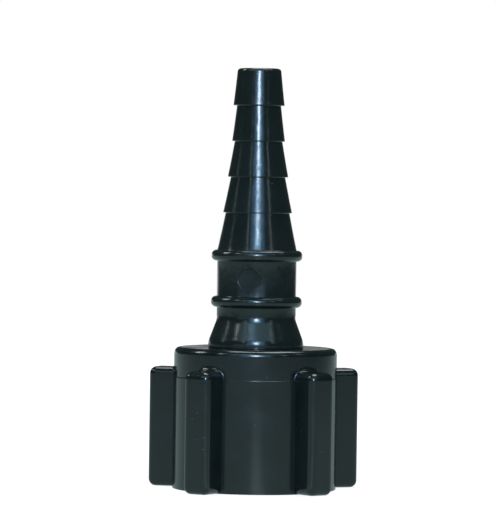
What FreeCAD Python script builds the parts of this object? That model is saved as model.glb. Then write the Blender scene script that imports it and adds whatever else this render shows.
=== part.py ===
import FreeCAD, Part
import math
import os
import Sketcher

# Oxygen outlet adapter: a barbed hose stem that swivels in a hand-tightened wing nut.
# It stands on the open mouth of the nut. The Z axis is the axis of both, height 0 is the
# nut's mouth, and the front, which lies between two wings, looks along -Y.

# Driving dimensions, in millimetres and, where they turn something, degrees.
sizes = {
    # Nut: a round body with a shallow ledge, closed at the top by a web with a hole.
    "nutHeight": 16.8,
    "nutDiameter": 19.4,
    "ledgeDrop": 3.5,
    "ledgeStep": 0.06,
    "nutTopRound": 0.7,
    "webThickness": 2.5,
    "webHoleDiameter": 11.0,
    # Wings of the nut.
    "wingCount": 5,
    "wingSpan": 25.6,
    "wingThickness": 3.5,
    "wingDrop": 2.5,
    "wingRound": 0.85,
    # The largest share of its wall that a round or taper may take.
    "roundShare": 0.95,
    # Inside of the nut: the female thread's outer wall, then a plain chamber.
    "threadDiameter": 14.29,
    "threadDepth": 8.2,
    "mouthChamfer": 0.4,
    "chamberDiameter": 12.9,
    # Stem above the nut, stacked upwards from the face that sits on the nut.
    "flareLip": 0.18,
    "flareRim": 0.72,
    "flareHeight": 3.35,
    "flareRimRound": 1.8,
    "flareTopRound": 2.0,
    "neckDiameter": 9.4,
    "neckHeight": 1.45,
    "bandDiameter": 9.45,
    "bandHeight": 6.8,
    "beadReach": 0.685,
    "beadHeight": 1.3,
    "coneHeight": 4.44,
    "barbPitch": 4.25,
    "tipHeight": 4.41,
    "tipDiameter": 5.15,
    "tipRound": 0.4,
    # Barbs, first one at the tip: the sharp edge, and the foot that the next cone starts from.
    "firstEdgeDiameter": 6.1,
    "firstFootDiameter": 5.24,
    "secondEdgeDiameter": 6.31,
    "secondFootDiameter": 5.68,
    "thirdEdgeDiameter": 7.21,
    "thirdFootDiameter": 6.48,
    "fourthEdgeDiameter": 8.22,
    "fourthFootDiameter": 7.62,
    # Stem inside the nut: a journal in the web's hole, a flange under it, and a sealing nose.
    "swivelGap": 0.15,
    "endPlay": 1.0,
    "flangeGap": 0.2,
    "flangeThickness": 2.2,
    "noseDiameter": 6.9,
    "noseLength": 2.7,
    "noseRound": 1.5,
    "gasBore": 3.4,
    # Round flat on the band where the moulding gate was trimmed, turned from the front.
    "gateDiameter": 2.74,
    "gateDepth": 0.26,
    "gateTurn": -14.0,
}

# How near a measured edge has to be to the place where it is looked for.
closeEnough = 1e-4

# Small rounds of the turned profiles are drawn as flats that each turn by this many degrees.
flatTurn = 30

doc = FreeCAD.newDocument("OxygenOutletAdapter")
sheet = doc.addObject("Spreadsheet::Sheet", "Sizes")
for row, (alias, value) in enumerate(sizes.items(), start=1):
    sheet.set(f"A{row}", alias)
    sheet.set(f"B{row}", str(value))
    sheet.setAlias(f"B{row}", alias)
doc.recompute()


def addBody(name, label):
    body = doc.addObject("PartDesign::Body", name)
    body.Label = label
    return body


def originFeature(body, role):
    return next(feature for feature in body.Origin.OriginFeatures if feature.Role == role)


def addSketch(body, name, role):
    sketch = body.newObject("Sketcher::SketchObject", name)
    sketch.AttachmentSupport = (originFeature(body, role), [""])
    sketch.MapMode = "FlatFace"
    return sketch


def bind(sketch, constraint, formula):
    index = sketch.addConstraint(constraint)
    sketch.setExpression(f"Constraints[{index}]", formula)


# A closed outline of straight lines, drawn roughly as a ring of points. Two formulas then
# hold each corner: its distance from the axis and its height.
def addOutline(body, name, corners):
    sketch = addSketch(body, name, "XZ_Plane")
    count = len(corners)
    turns = [2 * math.pi * place / count for place in range(count)]
    rough = [FreeCAD.Vector(3 + math.cos(turn), 3 + math.sin(turn), 0) for turn in turns]
    for place in range(count):
        sketch.addGeometry(Part.LineSegment(rough[place], rough[(place + 1) % count]))
    for place in range(count):
        sketch.addConstraint(Sketcher.Constraint("Coincident", place, 2, (place + 1) % count, 1))
    for place, (radius, height) in enumerate(corners):
        bind(sketch, Sketcher.Constraint("DistanceX", -1, 1, place, 1, rough[place].x), radius)
        bind(sketch, Sketcher.Constraint("DistanceY", -1, 1, place, 1, rough[place].y), height)
    return sketch


# Corners along a round of a turned profile, from one angle of its arc to another: the arc's
# centre, then how far it reaches outwards and upwards.
def roundCorners(across, level, reach, rise, start, end):
    flats = abs(end - start) // flatTurn
    turns = [start + (end - start) * place / flats for place in range(flats + 1)]
    return [(f"{across} + {reach} * cos({turn})", f"{level} + {rise} * sin({turn})") for turn in turns]


def addTurned(body, name, sketch):
    turned = body.newObject("PartDesign::Revolution", name)
    turned.Profile = sketch
    turned.ReferenceAxis = (originFeature(body, "Z_Axis"), [""])
    turned.Angle = 360
    doc.recompute()
    return turned


def addRound(body, name, edges, radius):
    base = body.Tip
    rounded = body.newObject("PartDesign::Fillet", name)
    rounded.Base = (base, edges)
    rounded.setExpression("Radius", radius)
    doc.recompute()
    return rounded


def wantedEdges(body, isWanted):
    edges = enumerate(body.Tip.Shape.Edges, start=1)
    return [f"Edge{number}" for number, edge in edges if isWanted(edge)]


# The full circles of one diameter about the axis, the lowest first.
def ringEdges(body, diameter):
    rings = []
    for number, edge in enumerate(body.Tip.Shape.Edges, start=1):
        if isinstance(edge.Curve, Part.Circle) and abs(edge.Curve.Radius - diameter / 2) < closeEnough:
            rings.append((edge.Curve.Center.z, f"Edge{number}"))
    return [name for height, name in sorted(rings)]


def fromAxis(edge):
    middle = edge.valueAt((edge.FirstParameter + edge.LastParameter) / 2)
    return math.hypot(middle.x, middle.y)


def isFlatAt(edge, height):
    return all(abs(point.z - height) < closeEnough for point in edge.discretize(3))


# The free edges of the wings: the corners of their tips, the rims and the feet.
def isWingEdge(edge):
    outside = fromAxis(edge) > sheet.nutDiameter / 2 + sheet.ledgeStep + closeEnough
    upright = abs(edge.tangentAt(edge.FirstParameter).z) > 1 - closeEnough
    return outside and (upright or isFlatAt(edge, sheet.nutHeight - sheet.wingDrop) or isFlatAt(edge, 0))


# The nut's wall is turned from its half section.
def addNut():
    body = addBody("WingNut", "wing_nut")
    upper = "Sizes.nutDiameter / 2"
    lower = f"{upper} + Sizes.ledgeStep"
    thread = "Sizes.threadDiameter / 2"
    chamber = "Sizes.chamberDiameter / 2"
    hole = "Sizes.webHoleDiameter / 2"
    webUnder = "Sizes.nutHeight - Sizes.webThickness"
    ledge = "Sizes.nutHeight - Sizes.ledgeDrop"
    topRound = "Sizes.nutTopRound"
    topEdge = roundCorners(f"{upper} - {topRound}", f"Sizes.nutHeight - {topRound}", topRound, topRound, 0, 90)
    section = addOutline(
        body,
        "NutSection",
        [
            (f"{thread} + Sizes.mouthChamfer", "0"),
            (lower, "0"),
            (lower, f"{ledge} - Sizes.ledgeStep"),
            (upper, ledge),
            *topEdge,
            (hole, "Sizes.nutHeight"),
            (hole, webUnder),
            (chamber, webUnder),
            (chamber, "Sizes.threadDepth"),
            (thread, "Sizes.threadDepth"),
            (thread, "Sizes.mouthChamfer"),
        ],
    )
    addTurned(body, "NutWall", section)
    addWings(body)
    return body


# One wing is drawn in plan at the back, raised and repeated round the axis. Its inner end is
# buried halfway into the wall over the thread. Its round takes no more than its share of the
# wing's reach past the wall.
def addWings(body):
    plan = addSketch(body, "WingPlan", "XY_Plane")
    half = sheet.wingThickness / 2
    inner = (sheet.nutDiameter + sheet.threadDiameter) / 4
    tip = sheet.wingSpan / 2
    corners = [(-half, tip), (-half, inner), (half, inner), (half, tip)]
    left, root, right, face = [
        plan.addGeometry(Part.LineSegment(FreeCAD.Vector(*start, 0), FreeCAD.Vector(*end, 0)))
        for start, end in zip(corners, corners[1:] + corners[:1])
    ]
    for edge, nextEdge in [(left, root), (root, right), (right, face), (face, left)]:
        plan.addConstraint(Sketcher.Constraint("Coincident", edge, 2, nextEdge, 1))
    plan.addConstraint(Sketcher.Constraint("Vertical", left))
    plan.addConstraint(Sketcher.Constraint("Vertical", right))
    plan.addConstraint(Sketcher.Constraint("Horizontal", face))
    plan.addConstraint(Sketcher.Constraint("Symmetric", root, 1, root, 2, -2))
    bind(plan, Sketcher.Constraint("DistanceX", root, 1, root, 2, 2 * half), "Sizes.wingThickness")
    innerFormula = "(Sizes.nutDiameter + Sizes.threadDiameter) / 4"
    bind(plan, Sketcher.Constraint("DistanceY", -1, 1, root, 1, inner), innerFormula)
    bind(plan, Sketcher.Constraint("DistanceY", -1, 1, face, 1, tip), "Sizes.wingSpan / 2")

    wing = body.newObject("PartDesign::Pad", "Wing")
    wing.Profile = plan
    wing.setExpression("Length", "Sizes.nutHeight - Sizes.wingDrop")
    doc.recompute()

    wings = body.newObject("PartDesign::PolarPattern", "Wings")
    wings.Originals = [wing]
    wings.Axis = (originFeature(body, "Z_Axis"), [""])
    wings.Angle = 360
    wings.setExpression("Occurrences", "Sizes.wingCount")
    body.Tip = wings
    doc.recompute()

    reach = "((Sizes.wingSpan - Sizes.nutDiameter) / 2 - Sizes.ledgeStep)"
    edgeRound = f"min(Sizes.wingRound; Sizes.roundShare * {reach})"
    addRound(body, "WingEdges", wantedEdges(body, isWingEdge), edgeRound)


# The stem is one turned profile round the gas bore, from the nose up to the hose tip.
def addStem():
    body = addBody("BarbedStem", "barbed_stem")
    bore = "Sizes.gasBore / 2"
    nose = "Sizes.noseDiameter / 2"
    noseRound = f"min(Sizes.noseRound; Sizes.roundShare * ({nose} - {bore}))"
    flange = "Sizes.chamberDiameter / 2 - Sizes.flangeGap"
    journal = "Sizes.webHoleDiameter / 2 - Sizes.swivelGap"
    flare = "Sizes.webHoleDiameter / 2 + Sizes.flareLip"
    neck = "Sizes.neckDiameter / 2"
    bead = "Sizes.beadHeight / 2"
    band = "Sizes.bandDiameter / 2"
    seat = "Sizes.nutHeight"
    flangeTop = f"{seat} - Sizes.webThickness - Sizes.endPlay"
    flangeUnder = f"{flangeTop} - Sizes.flangeThickness"
    noseEnd = f"{flangeUnder} - Sizes.noseLength"
    flareTop = f"{seat} + Sizes.flareHeight"
    neckTop = f"{flareTop} + Sizes.neckHeight"
    bandTop = f"{neckTop} + Sizes.bandHeight"
    coneTop = f"{bandTop} + Sizes.coneHeight"
    corners = [
        (bore, noseEnd),
        *roundCorners(f"{nose} - {noseRound}", f"{noseEnd} + {noseRound}", noseRound, noseRound, -90, 0),
        (nose, flangeUnder),
        (flange, flangeUnder),
        (flange, flangeTop),
        (journal, flangeTop),
        (journal, seat),
        (flare, seat),
        (flare, f"{seat} + Sizes.flareRim"),
        (neck, flareTop),
        (neck, neckTop),
    ]
    for beadMiddle in [f"{neckTop} + {bead}", f"{bandTop} - {bead}"]:
        corners += roundCorners(band, beadMiddle, "Sizes.beadReach", bead, -90, 90)
    for steps, barb in enumerate(["fourth", "third", "second", "first"]):
        level = f"{coneTop} + {steps} * Sizes.barbPitch"
        corners.append((f"Sizes.{barb}FootDiameter / 2", level))
        corners.append((f"Sizes.{barb}EdgeDiameter / 2", level))
    tipTop = f"{level} + Sizes.tipHeight"
    tip = "Sizes.tipDiameter / 2"
    tipRound = "Sizes.tipRound"
    corners += roundCorners(f"{tip} - {tipRound}", f"{tipTop} - {tipRound}", tipRound, tipRound, 0, 90)
    corners.append((bore, tipTop))
    addTurned(body, "StemWall", addOutline(body, "StemSection", corners))

    flareDiameter = sheet.webHoleDiameter + 2 * sheet.flareLip
    addRound(body, "FlareRim", ringEdges(body, flareDiameter)[-1:], "Sizes.flareRimRound")
    addRound(body, "FlareTop", ringEdges(body, sheet.neckDiameter)[:1], "Sizes.flareTopRound")
    addGateMark(body, f"{neckTop} + Sizes.bandHeight / 2")
    body.setExpression("Placement.Rotation.Angle", "Sizes.gateTurn")
    return body


# A round pocket from a flat floor at the front of the band outwards.
def addGateMark(body, level):
    sketch = addSketch(body, "GateOutline", "XZ_Plane")
    sketch.setExpression("AttachmentOffset.Base.z", "Sizes.bandDiameter / 2 - Sizes.gateDepth")
    radius = sheet.gateDiameter / 2
    centre = FreeCAD.Vector(0, sheet.nutHeight, 0)
    sketch.addGeometry(Part.Circle(centre, FreeCAD.Vector(0, 0, 1), radius))
    sketch.addConstraint(Sketcher.Constraint("PointOnObject", 0, 3, -2))
    bind(sketch, Sketcher.Constraint("Radius", 0, radius), "Sizes.gateDiameter / 2")
    bind(sketch, Sketcher.Constraint("DistanceY", -1, 1, 0, 3, centre.y), level)
    mark = body.newObject("PartDesign::Pocket", "GateMark")
    mark.Profile = sketch
    mark.Reversed = True
    mark.Type = "ThroughAll"
    doc.recompute()


pieces = [addNut(), addStem()]

failed = [item.Name for item in doc.Objects if "Invalid" in item.State or "Error" in item.State]
if failed:
    raise RuntimeError(f"objects that did not build: {failed}")
for piece in pieces:
    if piece.Shape.isNull() or not piece.Shape.isValid():
        raise RuntimeError(f"{piece.Label} has no valid shape")

os.makedirs("parts", exist_ok=True)
for piece in pieces:
    piece.Shape.exportStep(f"parts/{piece.Label}.step")
    print(f"{piece.Label}: {piece.Shape.Volume:.1f} cubic mm, {len(piece.Shape.Solids)} solid")
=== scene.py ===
import bmesh
import bpy
import math
from mathutils import Euler, Matrix, Vector


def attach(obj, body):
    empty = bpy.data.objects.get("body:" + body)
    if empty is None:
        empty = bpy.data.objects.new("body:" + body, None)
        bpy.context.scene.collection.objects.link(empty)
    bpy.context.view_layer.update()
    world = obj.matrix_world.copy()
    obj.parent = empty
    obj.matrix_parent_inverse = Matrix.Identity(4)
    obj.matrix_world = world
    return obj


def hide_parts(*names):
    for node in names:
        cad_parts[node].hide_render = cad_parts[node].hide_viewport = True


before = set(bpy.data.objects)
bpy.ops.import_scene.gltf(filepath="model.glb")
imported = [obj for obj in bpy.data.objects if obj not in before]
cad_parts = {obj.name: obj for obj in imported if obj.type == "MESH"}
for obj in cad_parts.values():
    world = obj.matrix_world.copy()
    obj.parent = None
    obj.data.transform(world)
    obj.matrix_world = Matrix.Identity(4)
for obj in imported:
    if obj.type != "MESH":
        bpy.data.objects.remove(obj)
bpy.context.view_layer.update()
scene = bpy.context.scene
scene.view_settings.view_transform = "Standard"
mm = 0.001  # the sizes below are in millimetres, and Blender's are in metres
seat = 16.8  # height of the nut's top face, where the stem sits

# How finely the meshes are made, in millimetres and degrees. A point as close as "near" to each
# end of a round keeps the flats beside it flat in shading. Points closer than "merge" are one.
meshSizes = {
    "near": 0.015, "roundStep": 13, "fewestSteps": 3, "blockSteps": 6, "merge": 0.0001, "sharpFrom": 35,
}


# The camera stands a little to the left of the gap between the two front wings, level with
# the two lowest barbs, and leans so that the adapter appears to tip to the right. Millimetres
# and degrees.
cameraSizes = {
    "distance": 420, "height": 35, "turn": 2.9, "pan": 0.144, "pitch": -1.128, "roll": 0.8,
    "lens": 256, "sensor": 36, "clipStart": 10, "clipEnd": 50000,
}


def addCamera(sizes):
    turn = math.radians(sizes["turn"])
    data = bpy.data.cameras.new("camera")
    data.lens = sizes["lens"]
    data.sensor_width = sizes["sensor"]
    data.sensor_fit = "HORIZONTAL"
    data.clip_start = sizes["clipStart"] * mm
    data.clip_end = sizes["clipEnd"] * mm
    camera = bpy.data.objects.new("camera", data)
    scene.collection.objects.link(camera)
    camera.location = Vector((-math.sin(turn), -math.cos(turn), 0)) * sizes["distance"] * mm
    camera.location.z = sizes["height"] * mm
    level = Euler((math.radians(90 + sizes["pitch"]), 0, -turn + math.radians(sizes["pan"]))).to_matrix()
    roll = Matrix.Rotation(math.radians(sizes["roll"]), 3, "Z")
    camera.rotation_euler = (level @ roll).to_euler()
    scene.camera = camera


addCamera(cameraSizes)
print("camera placed")


# A colour written as sRGB, in the linear values that Blender works with.
def linearColour(code):
    channels = [int(code[place:place + 2], 16) / 255 for place in (1, 3, 5)]
    linear = [value / 12.92 if value <= 0.04045 else ((value + 0.055) / 1.055) ** 2.4 for value in channels]
    return (*linear, 1)


white = linearColour("#FFFFFF")


# One node with its settings and links. A key that names or numbers an input sets that input,
# and any other key is one of the node's own properties, which are set first.
def addNode(tree, kind, settings=None, links=None):
    node = tree.nodes.new(kind)
    later = []
    for key, value in (settings or {}).items():
        if isinstance(key, str) and hasattr(node, key):
            setattr(node, key, value)
        else:
            later.append((key, value))
    for key, value in later:
        node.inputs[key].default_value = value
    for key, source in (links or {}).items():
        tree.links.new(source, node.inputs[key])
    return node


def newMaterial(name):
    material = bpy.data.materials.new(name)
    material.use_nodes = True
    material.node_tree.nodes.clear()
    return material


lampTarget = 25  # height of the point that all the lamps face, in mm
lampSizes = {
    # Azimuth and elevation in degrees, distance, width and height in mm, watts, colour. The key
    # lamp makes the stripe on the stem, the halo and tail lamps its soft sides, and the low lamp
    # the glow on the band. The narrow lamps and the windows make the small highlights.
    "keyLamp": (-2.5, 15.5, 900, 108, 230, 2.4, "#E6F2FF"),
    "haloLamp": (-1.5, 20, 920, 290, 320, 1.9, "#94D2FF"),
    "tailLamp": (-2, 19, 940, 700, 470, 2.0, "#8CC8FF"),
    "lowLamp": (-18, 5, 1000, 1700, 120, 0.5, "#B8E0FF"),
    "leftLamp": (-34, 26, 900, 40, 300, 0.1, "#E8F6FF"),
    "sideLamp": (-94, 26, 900, 40, 300, 0.12, "#E8F6FF"),
    "rightLamp": (41, 26, 900, 40, 300, 0.12, "#E8F6FF"),
    "upperLamp": (-16, 42, 900, 240, 200, 0.38, "#A8DCFF"),
    "wideLamp": (0, 42, 930, 1500, 210, 1.15, "#B4E4F4"),
    "leftWindow": (-61, 40, 900, 66, 220, 0.46, "#F0F6F4"),
    "farWindow": (-106, 38, 900, 80, 240, 1.2, "#F0F6F4"),
    "rightWindow": (72, 40, 900, 50, 220, 0.16, "#E8F6F4"),
    "topLamp": (160, 75, 900, 600, 600, 6, "#FFFFFF"),
}
roomSizes = {
    # The table, in mm from the object, its lit part, and what the camera sees of its own paleness.
    "tableLeft": 1100, "tableRight": 300, "tableFront": 1300, "tableBack": 600,
    "tableGrey": "#8A8A8A", "tableGlow": 0.82,
    # Reflections see the table's painted shine fade with distance, and a painted streak of the front lamp's
    # light on its near end.
    "tableShine": 0.585, "shineFar": 0.02, "shineNear": 320, "shineEnd": 800,
    "streak": 1.15, "streakNarrow": 0.02, "streakWide": 0.17, "streakFar": 150, "streakNear": 40,
    # The room as reflections see it, and the backdrop's place in it as parts of a direction.
    "roomDark": 0.05, "roomSoft": 0.6, "tint": "#DEFDFB",
    "backdropEdge": 0.8, "backdropFull": 0.97, "backdropLow": 0.01, "backdropHigh": 0.08,
}


def addLamps(lamps):
    for name, (azimuth, elevation, distance, width, height, watts, colour) in lamps.items():
        data = bpy.data.lights.new(name, "AREA")
        data.shape = "RECTANGLE"
        data.size = width * mm
        data.size_y = height * mm
        data.energy = watts
        data.color = linearColour(colour)[:3]
        lamp = bpy.data.objects.new(name, data)
        scene.collection.objects.link(lamp)
        side = math.radians(azimuth)
        rise = math.radians(elevation)
        away = Vector((math.sin(side) * math.cos(rise), -math.cos(side) * math.cos(rise), math.sin(rise)))
        target = Vector((0, 0, lampTarget * mm))
        lamp.location = target + away * distance * mm
        lamp.rotation_euler = away.to_track_quat("Z", "Y").to_euler()


# Whether a ray comes from the camera or through something clear, and whether by reflection.
def rayKinds(tree):
    rays = addNode(tree, "ShaderNodeLightPath")
    direct = addNode(
        tree,
        "ShaderNodeMath",
        {"operation": "MAXIMUM"},
        {0: rays.outputs["Is Camera Ray"], 1: rays.outputs["Is Transmission Ray"]},
    )
    return direct.outputs[0], rays.outputs["Is Glossy Ray"]


# The camera and light through clear things see a white room. Reflections see a dim one, with
# its white backdrop only straight behind and low down, so that the black plastics keep their
# dark faces while what lies level shines pale at a flat angle.
def addRoom(sizes):
    world = bpy.data.worlds.new("room")
    scene.world = world
    world.use_nodes = True
    tree = world.node_tree
    tree.nodes.clear()
    place = addNode(tree, "ShaderNodeTexCoord")
    split = addNode(tree, "ShaderNodeSeparateXYZ", None, {0: place.outputs["Generated"]})
    behind = addNode(
        tree,
        "ShaderNodeMapRange",
        {
            "interpolation_type": "SMOOTHSTEP",
            "From Min": sizes["backdropEdge"],
            "From Max": sizes["backdropFull"],
        },
        {"Value": split.outputs["Y"]},
    )
    low = addNode(
        tree,
        "ShaderNodeMapRange",
        {
            "interpolation_type": "SMOOTHSTEP",
            "From Min": sizes["backdropLow"],
            "From Max": sizes["backdropHigh"],
            "To Min": 1,
            "To Max": 0,
        },
        {"Value": split.outputs["Z"]},
    )
    pale = addNode(
        tree,
        "ShaderNodeMath",
        {"operation": "MULTIPLY"},
        {0: behind.outputs["Result"], 1: low.outputs["Result"]},
    )
    direct, glossy = rayKinds(tree)
    bright = addNode(tree, "ShaderNodeBackground", {"Color": white, "Strength": 1})
    dim = addNode(
        tree,
        "ShaderNodeBackground",
        {"Color": linearColour(sizes["tint"]), "Strength": sizes["roomDark"]},
    )
    soft = addNode(tree, "ShaderNodeBackground", {"Color": white, "Strength": sizes["roomSoft"]})
    reflected = addNode(
        tree,
        "ShaderNodeMixShader",
        None,
        {0: pale.outputs[0], 1: dim.outputs[0], 2: bright.outputs[0]},
    )
    other = addNode(
        tree,
        "ShaderNodeMixShader",
        None,
        {0: glossy, 1: soft.outputs[0], 2: reflected.outputs[0]},
    )
    mixed = addNode(tree, "ShaderNodeMixShader", None, {0: direct, 1: other.outputs[0], 2: bright.outputs[0]})
    addNode(tree, "ShaderNodeOutputWorld", None, {"Surface": mixed.outputs[0]})


# How bright reflections see each place of the table, all of it painted light: dimmer far away, and a painted
# streak of the front lamp's light close by.
def addPaintedShine(tree, sizes):
    place = addNode(tree, "ShaderNodeTexCoord")
    split = addNode(tree, "ShaderNodeSeparateXYZ", None, {0: place.outputs["Object"]})
    away = addNode(tree, "ShaderNodeVectorMath", {"operation": "LENGTH"}, {0: place.outputs["Object"]})
    far = addNode(
        tree,
        "ShaderNodeMapRange",
        {
            "From Min": sizes["shineNear"] * mm,
            "From Max": sizes["shineEnd"] * mm,
            "To Min": sizes["tableShine"],
            "To Max": sizes["shineFar"] * sizes["tableShine"],
        },
        {"Value": away.outputs["Value"]},
    )
    slant = addNode(
        tree,
        "ShaderNodeMath",
        {"operation": "DIVIDE"},
        {0: split.outputs["X"], 1: split.outputs["Y"]},
    )
    aside = addNode(tree, "ShaderNodeMath", {"operation": "ABSOLUTE"}, {0: slant.outputs[0]})
    narrow = addNode(
        tree,
        "ShaderNodeMapRange",
        {
            "interpolation_type": "SMOOTHSTEP",
            "From Min": sizes["streakNarrow"],
            "From Max": sizes["streakWide"],
            "To Min": sizes["streak"],
            "To Max": 0,
        },
        {"Value": aside.outputs[0]},
    )
    close = addNode(
        tree,
        "ShaderNodeMapRange",
        {
            "interpolation_type": "SMOOTHSTEP",
            "From Min": -sizes["streakFar"] * mm,
            "From Max": -sizes["streakNear"] * mm,
        },
        {"Value": split.outputs["Y"]},
    )
    streak = addNode(
        tree,
        "ShaderNodeMath",
        {"operation": "MULTIPLY"},
        {0: narrow.outputs["Result"], 1: close.outputs["Result"]},
    )
    raised = addNode(
        tree,
        "ShaderNodeMath",
        {"operation": "MULTIPLY_ADD"},
        {0: far.outputs["Result"], 1: streak.outputs[0], 2: far.outputs["Result"]},
    )
    return raised.outputs[0]


# The table is white card. The camera and light through clear things see mostly its own paleness, and the lit
# part on top keeps the object's shadow. Reflections see only its painted shine, a glow that stands in for
# light on the card. It is the brightest large thing in them and slightly blue-green.
def addTable(sizes):
    left = -sizes["tableLeft"] * mm
    right = sizes["tableRight"] * mm
    front = -sizes["tableFront"] * mm
    back = sizes["tableBack"] * mm
    mesh = bpy.data.meshes.new("table")
    corners = [(left, front, 0), (right, front, 0), (right, back, 0), (left, back, 0)]
    mesh.from_pydata(corners, [], [(0, 1, 2, 3)])
    table = bpy.data.objects.new("table", mesh)
    scene.collection.objects.link(table)
    material = newMaterial("whiteCard")
    tree = material.node_tree
    direct, glossy = rayKinds(tree)
    glow = addNode(tree, "ShaderNodeMath", {"operation": "MULTIPLY", 1: sizes["tableGlow"]}, {0: direct})
    own = addNode(tree, "ShaderNodeEmission", {"Color": white}, {"Strength": glow.outputs[0]})
    # The card's glow in reflections is painted light, with a painted streak of the front lamp's light.
    mirrored = addNode(
        tree,
        "ShaderNodeEmission",
        {"Color": linearColour(sizes["tint"])},
        {"Strength": addPaintedShine(tree, sizes)},
    )
    lit = addNode(tree, "ShaderNodeBsdfDiffuse", {"Color": linearColour(sizes["tableGrey"])})
    plain = addNode(tree, "ShaderNodeAddShader", None, {0: own.outputs[0], 1: lit.outputs[0]})
    either = addNode(
        tree,
        "ShaderNodeMixShader",
        None,
        {0: glossy, 1: plain.outputs[0], 2: mirrored.outputs[0]},
    )
    addNode(tree, "ShaderNodeOutputMaterial", None, {"Surface": either.outputs[0]})
    mesh.materials.append(material)


addLamps(lampSizes)
addRoom(roomSizes)
addTable(roomSizes)
print("lamps, room and table ready")


# What the two plastics share: how strongly ABS bends light, the middling range of the noise that
# the flow marks take, and how much of a speck is full and how much rougher it is.
absSizes = {"refraction": 1.54, "flowLow": 0.3, "flowHigh": 0.7, "speckCore": 0.5, "speckRough": 0.3}


# Both pieces are black ABS from an injection mould: a dense black with a little green in it,
# and a clear surface that mirrors the room like most plastics. In each, slow flow marks change
# the tone and the gloss, the skin is faintly uneven, and dust and scuffs leave pale specks.
def mouldedAbs(name, sizes):
    material = newMaterial(name)
    tree = material.node_tree
    place = {"Vector": addNode(tree, "ShaderNodeTexCoord").outputs["Object"]}
    flow = addNode(tree, "ShaderNodeTexNoise", {"Scale": 1 / (sizes["flow"] * mm), "Detail": 3}, place)
    skin = addNode(tree, "ShaderNodeTexNoise", {"Scale": 1 / (sizes["skin"] * mm), "Detail": 2}, place)
    grains = addNode(tree, "ShaderNodeTexVoronoi", {"Scale": 1 / (sizes["speckEvery"] * mm)}, place)
    tint = addNode(
        tree,
        "ShaderNodeMix",
        {"data_type": "RGBA", 6: linearColour(sizes["deep"]), 7: linearColour(sizes["light"])},
        {0: flow.outputs["Fac"]},
    )
    radius = sizes["speckRadius"] / sizes["speckEvery"]
    speck = addNode(
        tree,
        "ShaderNodeMapRange",
        {
            "interpolation_type": "SMOOTHSTEP",
            "From Min": radius * absSizes["speckCore"],
            "From Max": radius,
            "To Min": 1,
            "To Max": 0,
        },
        {"Value": grains.outputs["Distance"]},
    )
    colour = addNode(
        tree,
        "ShaderNodeMix",
        {"data_type": "RGBA", 7: linearColour(sizes["dust"])},
        {0: speck.outputs["Result"], 6: tint.outputs[2]},
    )
    gloss = addNode(
        tree,
        "ShaderNodeMapRange",
        {
            "From Min": absSizes["flowLow"],
            "From Max": absSizes["flowHigh"],
            "To Min": sizes["smooth"],
            "To Max": sizes["rough"],
        },
        {"Value": flow.outputs["Fac"]},
    )
    rough = addNode(
        tree,
        "ShaderNodeMath",
        {"operation": "MULTIPLY_ADD", 1: absSizes["speckRough"]},
        {0: speck.outputs["Result"], 2: gloss.outputs["Result"]},
    )
    bump = addNode(
        tree,
        "ShaderNodeBump",
        {"Strength": sizes["uneven"], "Distance": sizes["height"] * mm},
        {"Height": skin.outputs["Fac"]},
    )
    plastic = addNode(
        tree,
        "ShaderNodeBsdfPrincipled",
        {"IOR": absSizes["refraction"]},
        {"Base Color": colour.outputs[2], "Roughness": rough.outputs[0], "Normal": bump.outputs["Normal"]},
    )
    addNode(tree, "ShaderNodeOutputMaterial", None, {"Surface": plastic.outputs[0]})
    return material


# The nut's mould is spark-eroded to a fine satin, and the stem's is polished. The stem's skin
# has long soft ripples that break its highlights up. Sizes in millimetres.
nutSkin = {
    "flow": 2.6, "skin": 0.35, "speckEvery": 1.5, "speckRadius": 0.065, "uneven": 0.4, "height": 0.008,
    "deep": "#030A0A", "light": "#141E1E", "dust": "#515A59", "smooth": 0.13, "rough": 0.2,
}
stemSkin = {
    "flow": 2.5, "skin": 1.3, "speckEvery": 1.7, "speckRadius": 0.06, "uneven": 0.6, "height": 0.045,
    "deep": "#0F1716", "light": "#141D1C", "dust": "#5B6463", "smooth": 0.14, "rough": 0.21,
}
nutPlastic = mouldedAbs("satinMouldedBlackAbs", nutSkin)
stemPlastic = mouldedAbs("polishedMouldedBlackAbs", stemSkin)
print("plastics ready")


# A closed profile with every corner rounded. A corner is its distance from the axis, its height
# and its round. Two rounds that meet on a short side share it by their sizes, with room left for
# the points near their ends.
def roundedProfile(corners):
    near = meshSizes["near"]
    room = 2.5 * near
    step = math.radians(meshSizes["roundStep"])
    places = [Vector(corner[:2]) for corner in corners]
    count = len(places)
    bends = []
    for place in range(count):
        arriving = places[place] - places[place - 1]
        leaving = places[(place + 1) % count] - places[place]
        bends.append(arriving.angle_signed(leaving))
    wanted = [corner[2] * math.tan(abs(bend) / 2) for corner, bend in zip(corners, bends)]
    sides = [(places[(place + 1) % count] - places[place]).length for place in range(count)]
    pairs = [wanted[place] + wanted[(place + 1) % count] for place in range(count)]
    shares = [min(1, (side - room) / pair) for side, pair in zip(sides, pairs)]
    points = []
    for place, corner in enumerate(places):
        back = (places[place - 1] - corner).normalized()
        ahead = (places[(place + 1) % count] - corner).normalized()
        length = wanted[place] * min(shares[place - 1], shares[place])
        half = abs(bends[place]) / 2
        radius = length / math.tan(half)
        centre = corner + (back + ahead).normalized() * radius / math.cos(half)
        start = corner + back * length - centre
        steps = max(meshSizes["fewestSteps"], math.ceil(2 * half / step))
        roomy = shares[place - 1] == 1 and shares[place] == 1
        if roomy:
            points.append(corner + back * (length + near))
        for number in range(steps + 1):
            points.append(centre + Matrix.Rotation(-bends[place] * number / steps, 2) @ start)
        if roomy:
            points.append(corner + ahead * (length + near))
    return [(point.x * mm, 0, point.y * mm) for point in points]


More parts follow.
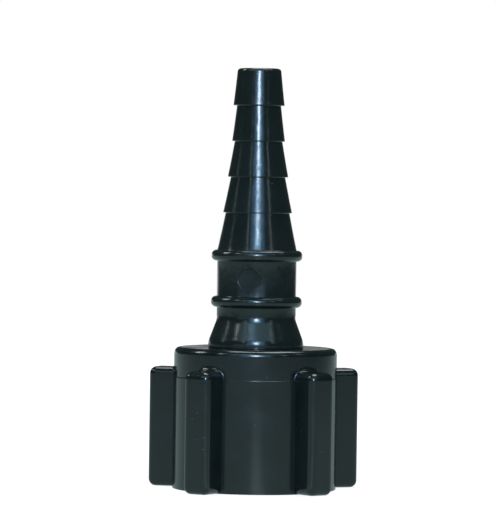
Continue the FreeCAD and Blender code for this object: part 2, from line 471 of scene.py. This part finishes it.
# A tree with a mesh and the named inputs going in and a mesh coming out, and its input node.
def newTree(name, inputs):
    tree = bpy.data.node_groups.new(name, "GeometryNodeTree")
    tree.interface.new_socket("Geometry", in_out="INPUT", socket_type="NodeSocketGeometry")
    tree.interface.new_socket("Geometry", in_out="OUTPUT", socket_type="NodeSocketGeometry")
    for label, kind in inputs.items():
        tree.interface.new_socket(label, in_out="INPUT", socket_type=kind)
    return tree, tree.nodes.new("NodeGroupInput")


# Every tree ends with real instances in the given plastic.
def endTree(tree, given, shape):
    real = addNode(tree, "GeometryNodeRealizeInstances", None, {"Geometry": shape.outputs[0]})
    coloured = addNode(
        tree,
        "GeometryNodeSetMaterial",
        None,
        {"Geometry": real.outputs[0], "Material": given.outputs["Plastic"]},
    )
    addNode(tree, "NodeGroupOutput", None, {0: coloured.outputs[0]})
    return tree


# Turns a profile, given as a row of points, round the Z axis in even steps.
def turnedTree():
    tree, given = newTree("turnedShape", {"Steps": "NodeSocketInt", "Plastic": "NodeSocketMaterial"})
    size = addNode(tree, "GeometryNodeAttributeDomainSize", None, {"Geometry": given.outputs["Geometry"]})
    points = size.outputs["Point Count"]
    steps = given.outputs["Steps"]
    columns = addNode(tree, "FunctionNodeIntegerMath", {"operation": "ADD", 1: 1}, {0: steps}).outputs[0]
    rows = addNode(tree, "FunctionNodeIntegerMath", {"operation": "ADD", 1: 1}, {0: points}).outputs[0]
    grid = addNode(tree, "GeometryNodeMeshGrid", None, {"Vertices X": columns, "Vertices Y": rows})
    index = addNode(tree, "GeometryNodeInputIndex").outputs[0]
    step = addNode(tree, "FunctionNodeIntegerMath", {"operation": "DIVIDE_FLOOR"}, {0: index, 1: rows})
    row = addNode(tree, "FunctionNodeIntegerMath", {"operation": "MODULO"}, {0: index, 1: rows})
    wrapped = addNode(
        tree,
        "FunctionNodeIntegerMath",
        {"operation": "MODULO"},
        {0: row.outputs[0], 1: points},
    )
    place = addNode(tree, "GeometryNodeInputPosition")
    corner = addNode(
        tree,
        "GeometryNodeSampleIndex",
        {"data_type": "FLOAT_VECTOR", "domain": "POINT"},
        {"Geometry": given.outputs["Geometry"], "Value": place.outputs[0], "Index": wrapped.outputs[0]},
    )
    share = addNode(tree, "ShaderNodeMath", {"operation": "DIVIDE"}, {0: step.outputs[0], 1: steps})
    angle = addNode(tree, "ShaderNodeMath", {"operation": "MULTIPLY", 1: 2 * math.pi}, {0: share.outputs[0]})
    turned = addNode(
        tree,
        "ShaderNodeVectorRotate",
        {"rotation_type": "Z_AXIS"},
        {"Vector": corner.outputs[0], "Angle": angle.outputs[0]},
    )
    moved = addNode(
        tree,
        "GeometryNodeSetPosition",
        None,
        {"Geometry": grid.outputs["Mesh"], "Position": turned.outputs[0]},
    )
    closed = addNode(
        tree,
        "GeometryNodeMergeByDistance",
        {"Distance": meshSizes["merge"] * mm},
        {"Geometry": moved.outputs[0]},
    )
    smooth = addNode(tree, "GeometryNodeSetShadeSmooth", None, {"Geometry": closed.outputs[0]})
    return endTree(tree, given, smooth)


# Repeats one mesh round the Z axis.
def ringTree():
    tree, given = newTree("ringOfPieces", {"Count": "NodeSocketInt", "Plastic": "NodeSocketMaterial"})
    count = given.outputs["Count"]
    points = addNode(tree, "GeometryNodePoints", None, {"Count": count})
    index = addNode(tree, "GeometryNodeInputIndex")
    share = addNode(tree, "ShaderNodeMath", {"operation": "DIVIDE"}, {0: index.outputs[0], 1: count})
    angle = addNode(tree, "ShaderNodeMath", {"operation": "MULTIPLY", 1: 2 * math.pi}, {0: share.outputs[0]})
    turn = addNode(tree, "ShaderNodeCombineXYZ", None, {"Z": angle.outputs[0]})
    smooth = addNode(tree, "GeometryNodeSetShadeSmooth", None, {"Geometry": given.outputs["Geometry"]})
    spread = addNode(
        tree,
        "GeometryNodeInstanceOnPoints",
        None,
        {"Points": points.outputs[0], "Instance": smooth.outputs[0], "Rotation": turn.outputs[0]},
    )
    return endTree(tree, given, spread)


# A thin tube along a ring of edges.
def tubeTree():
    tree, given = newTree("thinTube", {"Radius": "NodeSocketFloat", "Plastic": "NodeSocketMaterial"})
    path = addNode(tree, "GeometryNodeMeshToCurve", None, {"Mesh": given.outputs["Geometry"]})
    section = addNode(
        tree,
        "GeometryNodeCurvePrimitiveCircle",
        {"Resolution": 8},
        {"Radius": given.outputs["Radius"]},
    )
    tube = addNode(
        tree,
        "GeometryNodeCurveToMesh",
        None,
        {"Curve": path.outputs[0], "Profile Curve": section.outputs[0]},
    )
    smooth = addNode(tree, "GeometryNodeSetShadeSmooth", None, {"Geometry": tube.outputs[0]})
    return endTree(tree, given, smooth)


# Sweeps a ridge along a right-handed helix. It swells from thin at its start, and thins again
# near its end.
def threadTree():
    thin = 0.15  # its size at both ends, as a part of its full size
    full = 0.07  # how far along it is full
    fading = 0.95  # and where it starts to thin again
    lengths = ("Turns", "Rise", "Radius", "Root", "Crest", "Depth")
    kinds = {label: "NodeSocketFloat" for label in lengths}
    tree, given = newTree("threadRidge", {**kinds, "Plastic": "NodeSocketMaterial"})
    helix = addNode(
        tree,
        "GeometryNodeCurveSpiral",
        {"Resolution": 72},
        {
            "Rotations": given.outputs["Turns"],
            "Start Radius": given.outputs["Radius"],
            "End Radius": given.outputs["Radius"],
            "Height": given.outputs["Rise"],
        },
    )
    upright = addNode(tree, "GeometryNodeSetCurveNormal", {"mode": "Z_UP"}, {"Curve": helix.outputs[0]})
    along = addNode(tree, "GeometryNodeSplineParameter").outputs["Factor"]
    swell = addNode(tree, "ShaderNodeMapRange", {"From Max": full, "To Min": thin}, {"Value": along})
    fade = addNode(
        tree,
        "ShaderNodeMapRange",
        {"From Min": fading, "From Max": 1, "To Min": 1, "To Max": thin},
        {"Value": along},
    )
    least = addNode(
        tree,
        "ShaderNodeMath",
        {"operation": "MINIMUM"},
        {0: swell.outputs["Result"], 1: fade.outputs["Result"]},
    )
    section = addNode(
        tree,
        "GeometryNodeCurvePrimitiveQuadrilateral",
        {"mode": "TRAPEZOID", "Offset": 0},
        {
            "Bottom Width": given.outputs["Root"],
            "Top Width": given.outputs["Crest"],
            "Height": given.outputs["Depth"],
        },
    )
    ridge = addNode(
        tree,
        "GeometryNodeCurveToMesh",
        {"Fill Caps": True},
        {"Curve": upright.outputs[0], "Profile Curve": section.outputs[0], "Scale": least.outputs[0]},
    )
    return endTree(tree, given, ridge)


# Runs a tree on a mesh with the given inputs, and returns its plain result.
def grown(name, mesh, tree, inputs):
    source = bpy.data.objects.new(name, mesh)
    scene.collection.objects.link(source)
    modifier = source.modifiers.new("shape", "NODES")
    modifier.node_group = tree
    items = tree.interface.items_tree
    sockets = {item.name: item.identifier for item in items if item.in_out == "INPUT"}
    for label, value in inputs.items():
        modifier[sockets[label]] = value
    seen = source.evaluated_get(bpy.context.evaluated_depsgraph_get())
    result = bpy.data.meshes.new_from_object(seen)
    source.modifiers.clear()
    bpy.data.objects.remove(source)
    return result


# The turned body that a row of corners stands for.
def turnedMesh(name, corners, steps, plastic):
    row = bpy.data.meshes.new(name)
    row.from_pydata(roundedProfile(corners), [], [])
    return grown(name, row, turnedShape, {"Steps": steps, "Plastic": plastic})


# Joins meshes into one object, smooth but for its sharp edges.
def addPiece(name, meshes, material):
    shape = bmesh.new()
    for mesh in meshes:
        shape.from_mesh(mesh)
    mesh = bpy.data.meshes.new(name)
    shape.to_mesh(mesh)
    shape.free()
    mesh.set_sharp_from_angle(angle=math.radians(meshSizes["sharpFrom"]))
    mesh.materials.append(material)
    piece = bpy.data.objects.new(name, mesh)
    scene.collection.objects.link(piece)
    return piece


turnedShape = turnedTree()
ringOfPieces = ringTree()
thinTube = tubeTree()
threadRidge = threadTree()


# Millimetres and degrees.
stemSizes = {
    "gasBore": 3.4, "nose": 6.9, "noseRound": 1.5, "noseEnd": 8.4, "flangeUnder": 11.1, "flangeTop": 13.3,
    "flange": 12.5, "journal": 10.7, "flare": 11.36, "flareRim": 0.72, "flareHeight": 3.35,
    "flareRimRound": 1.8, "flareTopRound": 2, "neck": 9.4, "neckHeight": 1.45, "band": 9.45,
    "bandHeight": 6.8, "beadReach": 0.685, "beadHeight": 1.3, "coneHeight": 4.44, "barbPitch": 4.25,
    "tipHeight": 4.41, "tip": 5.15, "tipRound": 0.4,
    # Each barb: the foot that the cone below it ends at, and its own sharp edge. The lowest is first.
    "barbs": [(7.62, 8.22), (6.48, 7.21), (5.68, 6.31), (5.24, 6.1)],
    # The cones sag inwards a little at the middle, and the moulded edges are a little blunt.
    "sag": 0.02, "sagRound": 170, "edgeRound": 0.07, "cornerRound": 0.08, "steps": 160,
    # The gate mark, and the thin raised witness of the gate round it.
    "gateDiameter": 2.74, "gateDepth": 0.26, "gateTurn": -14, "gateSides": 96, "gateReach": 2,
    "witnessRadius": 0.07, "witnessSteps": 72,
}


# The whole profile, from the nose's end up the outside to the tip. The bore closes it.
def stemCorners(sizes):
    fine = sizes["edgeRound"]
    soft = sizes["cornerRound"]
    bore = sizes["gasBore"] / 2
    band = sizes["band"] / 2
    crest = band + sizes["beadReach"]
    full = sizes["beadHeight"] / 2
    neckTop = seat + sizes["flareHeight"] + sizes["neckHeight"]
    bandTop = neckTop + sizes["bandHeight"]
    corners = [
        (bore, sizes["noseEnd"], soft),
        (sizes["nose"] / 2, sizes["noseEnd"], sizes["noseRound"]),
        (sizes["nose"] / 2, sizes["flangeUnder"], soft),
        (sizes["flange"] / 2, sizes["flangeUnder"], soft),
        (sizes["flange"] / 2, sizes["flangeTop"], soft),
        (sizes["journal"] / 2, sizes["flangeTop"], soft),
        (sizes["journal"] / 2, seat, fine),
        (sizes["flare"] / 2, seat, fine),
        (sizes["flare"] / 2, seat + sizes["flareRim"], sizes["flareRimRound"]),
        (sizes["neck"] / 2, seat + sizes["flareHeight"], sizes["flareTopRound"]),
        (sizes["neck"] / 2, neckTop, fine),
        (crest, neckTop, full),
        (crest, neckTop + 2 * full, full),
        (band, neckTop + 2 * full, fine),
        (band, bandTop - 2 * full, fine),
        (crest, bandTop - 2 * full, full),
        (crest, bandTop, full),
        (band, bandTop, fine),
    ]
    under = band
    level = bandTop
    for steps, (foot, edge) in enumerate(sizes["barbs"]):
        below = level
        level = bandTop + sizes["coneHeight"] + steps * sizes["barbPitch"]
        corners.append(sagging(under, below, foot / 2, level, sizes))
        corners += [(foot / 2, level, fine), (edge / 2, level, fine)]
        under = edge / 2
    tip = sizes["tip"] / 2
    tipTop = level + sizes["tipHeight"]
    corners.append(sagging(under, level, tip, tipTop, sizes))
    return corners + [(tip, tipTop, sizes["tipRound"]), (bore, tipTop, soft)]


# The corner halfway up a cone, a little nearer to the axis.
def sagging(under, below, over, above, sizes):
    return ((under + over) / 2 - sizes["sag"], (below + above) / 2, sizes["sagRound"])


# A cylinder that stands on the gate mark's flat floor and reaches out past the band.
def gateTool(sizes, level):
    shape = bmesh.new()
    bmesh.ops.create_cone(
        shape,
        cap_ends=True,
        segments=sizes["gateSides"],
        radius1=sizes["gateDiameter"] / 2 * mm,
        radius2=sizes["gateDiameter"] / 2 * mm,
        depth=sizes["gateReach"] * mm,
    )
    out = sizes["band"] / 2 - sizes["gateDepth"] + sizes["gateReach"] / 2
    lying = Matrix.Translation((0, -out * mm, level * mm)) @ Matrix.Rotation(math.pi / 2, 4, "X")
    turn = Matrix.Rotation(math.radians(sizes["gateTurn"]), 4, "Z")
    bmesh.ops.transform(shape, matrix=turn @ lying, verts=shape.verts)
    mesh = bpy.data.meshes.new("gateTool")
    shape.to_mesh(mesh)
    shape.free()
    return mesh


# The thin ridge where the gate's rim meets the band.
def gateWitness(sizes, level):
    radius = sizes["gateDiameter"] / 2
    band = sizes["band"] / 2
    count = sizes["witnessSteps"]
    points = []
    for place in range(count):
        angle = 2 * math.pi * place / count
        across = radius * math.cos(angle)
        point = Vector((across, -math.sqrt(band ** 2 - across ** 2), level + radius * math.sin(angle)))
        points.append(Matrix.Rotation(math.radians(sizes["gateTurn"]), 3, "Z") @ point * mm)
    ring = bpy.data.meshes.new("gateRing")
    ring.from_pydata(points, [(place, (place + 1) % count) for place in range(count)], [])
    inputs = {"Radius": sizes["witnessRadius"] * mm, "Plastic": stemPlastic}
    return grown("gateWitness", ring, thinTube, inputs)


# Cuts one mesh out of another.
def cutBy(mesh, tool):
    body = bpy.data.objects.new("cutBody", mesh)
    cutter = bpy.data.objects.new("cutter", tool)
    for thing in (body, cutter):
        scene.collection.objects.link(thing)
    cut = body.modifiers.new("cut", "BOOLEAN")
    cut.operation = "DIFFERENCE"
    cut.solver = "EXACT"
    cut.object = cutter
    result = bpy.data.meshes.new_from_object(body.evaluated_get(bpy.context.evaluated_depsgraph_get()))
    body.modifiers.clear()
    for thing in (body, cutter):
        bpy.data.objects.remove(thing)
    return result


def addStem(sizes):
    turned = turnedMesh("stemProfile", stemCorners(sizes), sizes["steps"], stemPlastic)
    level = seat + sizes["flareHeight"] + sizes["neckHeight"] + sizes["bandHeight"] / 2
    marked = cutBy(turned, gateTool(sizes, level))
    shell = addPiece("stem_moulding", [marked, gateWitness(sizes, level)], stemPlastic)
    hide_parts("barbed_stem")
    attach(shell, "stem")


addStem(stemSizes)
print("stem turned and marked")


# Millimetres.
nutSizes = {
    "height": seat, "upper": 19.4, "ledgeDrop": 3.5, "ledgeStep": 0.06, "topRound": 0.7,
    "webThickness": 2.5, "webHole": 11, "thread": 14.29, "threadDepth": 8.2, "mouthChamfer": 0.4,
    "chamber": 12.9, "ledgeRound": 0.05, "cornerRound": 0.12, "steps": 180,
    "wingCount": 5, "wingSpan": 25.6, "wingThickness": 3.5, "wingHeight": 14.3, "wingRound": 0.85,
    "wingRoot": 9.54,
    # The hollow round between a wing and the wall, deepest over the middle of the wing. It
    # starts a little above the resting face, and closes inside the wing and behind the wall.
    "rootSide": 0.12, "rootTop": 0.62, "rootStart": 0.05, "rootInside": 0.3, "rootBehind": 0.5,
    "rootSteps": 8, "rootFlats": 4,
    # The 9/16 inch thread, 18 turns to the inch: a ridge on the wall of the nut's mouth. Its
    # root is a little inside the wall. The widths of its root and crest are parts of the pitch.
    "pitch": 25.4 / 18, "threadCrest": 12.9, "threadStart": 0.7, "threadTurns": 4.9,
    "threadInside": 0.06, "threadRootShare": 0.88, "threadCrestShare": 0.16,
}


# The body's whole profile: from the mouth out, up the outside, over the top and down the inside.
def nutCorners(sizes):
    soft = sizes["cornerRound"]
    upper = sizes["upper"] / 2
    lower = upper + sizes["ledgeStep"]
    thread = sizes["thread"] / 2
    ledge = sizes["height"] - sizes["ledgeDrop"]
    webUnder = sizes["height"] - sizes["webThickness"]
    return [
        (thread + sizes["mouthChamfer"], 0, soft),
        (lower, 0, soft),
        (lower, ledge - sizes["ledgeStep"], sizes["ledgeRound"]),
        (upper, ledge, sizes["ledgeRound"]),
        (upper, sizes["height"], sizes["topRound"]),
        (sizes["webHole"] / 2, sizes["height"], soft),
        (sizes["webHole"] / 2, webUnder, soft),
        (sizes["chamber"] / 2, webUnder, soft),
        (sizes["chamber"] / 2, sizes["threadDepth"], soft),
        (thread, sizes["threadDepth"], soft),
        (thread, sizes["mouthChamfer"], soft),
    ]


# Places along one side of a rounded block: the two rounds in even turns, and a point close to
# each of their inner ends.
def blockPlaces(low, high, radius):
    near = meshSizes["near"]
    count = meshSizes["blockSteps"]
    turns = [math.pi / 2 * place / count for place in range(count + 1)]
    start = [low + radius * (1 - math.cos(turn)) for turn in turns]
    end = [high - radius * (1 - math.cos(turn)) for turn in reversed(turns)]
    return start + [low + radius + near, high - radius - near] + end


# Up one side of the wing's root, over its top and down again: places across and up, and the
# direction out of the wing at each.
def rootPath(sizes):
    half = sizes["wingThickness"] / 2
    top = sizes["wingHeight"]
    radius = sizes["wingRound"]
    steps = sizes["rootSteps"]
    flats = sizes["rootFlats"]
    turns = [math.pi / 2 * place / steps for place in range(steps + 1)]
    side = [(Vector((half, sizes["rootStart"])), Vector((1, 0)))]
    for turn in turns:
        out = Vector((math.cos(turn), math.sin(turn)))
        side.append((Vector((half - radius, top - radius)) + out * radius, out))
    shares = [place / flats for place in reversed(range(flats))]
    flat = [(Vector(((half - radius) * share, top)), Vector((0, 1))) for share in shares]
    right = side + flat
    left = [(Vector((-place.x, place.y)), Vector((-out.x, out.y))) for place, out in reversed(right[:-1])]
    return right + left


# A hollow round all along the root, closed at the back inside the wall.
def addRootRound(shape, sizes):
    wall = sizes["upper"] / 2
    half = sizes["wingThickness"] / 2
    steps = sizes["rootSteps"]
    rows = []
    for place, out in rootPath(sizes):
        radius = sizes["rootSide"] + (sizes["rootTop"] - sizes["rootSide"]) * (1 - (place.x / half) ** 2)
        row = []
        for number in range(steps + 1):
            turn = math.pi / 2 * number / steps
            along = place + out * radius * (1 - math.sin(turn))
            height = math.sqrt(wall ** 2 - along.x ** 2) + radius * (1 - math.cos(turn))
            row.append(shape.verts.new(Vector((along.x, height, along.y)) * mm))
        inside = place - out * sizes["rootInside"]
        row.append(shape.verts.new(Vector((inside.x, wall - sizes["rootBehind"], inside.y)) * mm))
        rows.append(row)
    count = len(rows[0])
    for upper, lower in zip(rows, rows[1:]):
        for place in range(count):
            beside = (place + 1) % count
            shape.faces.new([upper[place], upper[beside], lower[beside], lower[place]])
    shape.faces.new(rows[0])
    shape.faces.new(rows[-1])


# The place nearest to a point among those that lie a radius or more inside a block.
def innerPlace(point, low, high, radius):
    limits = zip(point, low, high)
    return Vector([min(max(value, least + radius), most - radius) for value, least, most in limits])


# One wing at the back: a block whose edges are all rounded, with its inner end in the wall.
def wingMesh(sizes):
    half = sizes["wingThickness"] / 2
    radius = sizes["wingRound"]
    low = Vector((-half, sizes["wingRoot"] - radius, 0))
    high = Vector((half, sizes["wingSpan"] / 2, sizes["wingHeight"]))
    places = [blockPlaces(low[side], high[side], radius) for side in range(3)]
    shape = bmesh.new()
    for side in range(3):
        first, second = [other for other in range(3) if other != side]
        for level in (low[side], high[side]):
            rows = []
            for across in places[first]:
                row = []
                for along in places[second]:
                    point = Vector((0, 0, 0))
                    point[side], point[first], point[second] = level, across, along
                    inner = innerPlace(point, low, high, radius)
                    row.append(shape.verts.new((inner + (point - inner).normalized() * radius) * mm))
                rows.append(row)
            for upper, lower in zip(rows, rows[1:]):
                for place in range(len(upper) - 1):
                    shape.faces.new([upper[place], upper[place + 1], lower[place + 1], lower[place]])
    addRootRound(shape, sizes)
    bmesh.ops.remove_doubles(shape, verts=shape.verts, dist=meshSizes["merge"] * mm)
    bmesh.ops.recalc_face_normals(shape, faces=shape.faces)
    mesh = bpy.data.meshes.new("wing")
    shape.to_mesh(mesh)
    shape.free()
    return mesh


# The thread's ridge, with its root buried a little in the wall.
def threadMesh(sizes):
    root = sizes["thread"] / 2 + sizes["threadInside"]
    crest = sizes["threadCrest"] / 2
    empty = bpy.data.meshes.new("threadSeed")
    inputs = {
        "Turns": sizes["threadTurns"],
        "Rise": sizes["threadTurns"] * sizes["pitch"] * mm,
        "Radius": (root + crest) / 2 * mm,
        "Root": sizes["pitch"] * sizes["threadRootShare"] * mm,
        "Crest": sizes["pitch"] * sizes["threadCrestShare"] * mm,
        "Depth": (root - crest) * mm,
        "Plastic": nutPlastic,
    }
    mesh = grown("thread", empty, threadRidge, inputs)
    mesh.transform(Matrix.Translation((0, 0, sizes["threadStart"] * mm)))
    return mesh


def addNut(sizes):
    body = turnedMesh("nutProfile", nutCorners(sizes), sizes["steps"], nutPlastic)
    inputs = {"Count": sizes["wingCount"], "Plastic": nutPlastic}
    wings = grown("wings", wingMesh(sizes), ringOfPieces, inputs)
    nut = addPiece("nut_moulding", [body, wings, threadMesh(sizes)], nutPlastic)
    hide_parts("wing_nut")
    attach(nut, "nut")


addNut(nutSizes)
print("nut turned and winged")
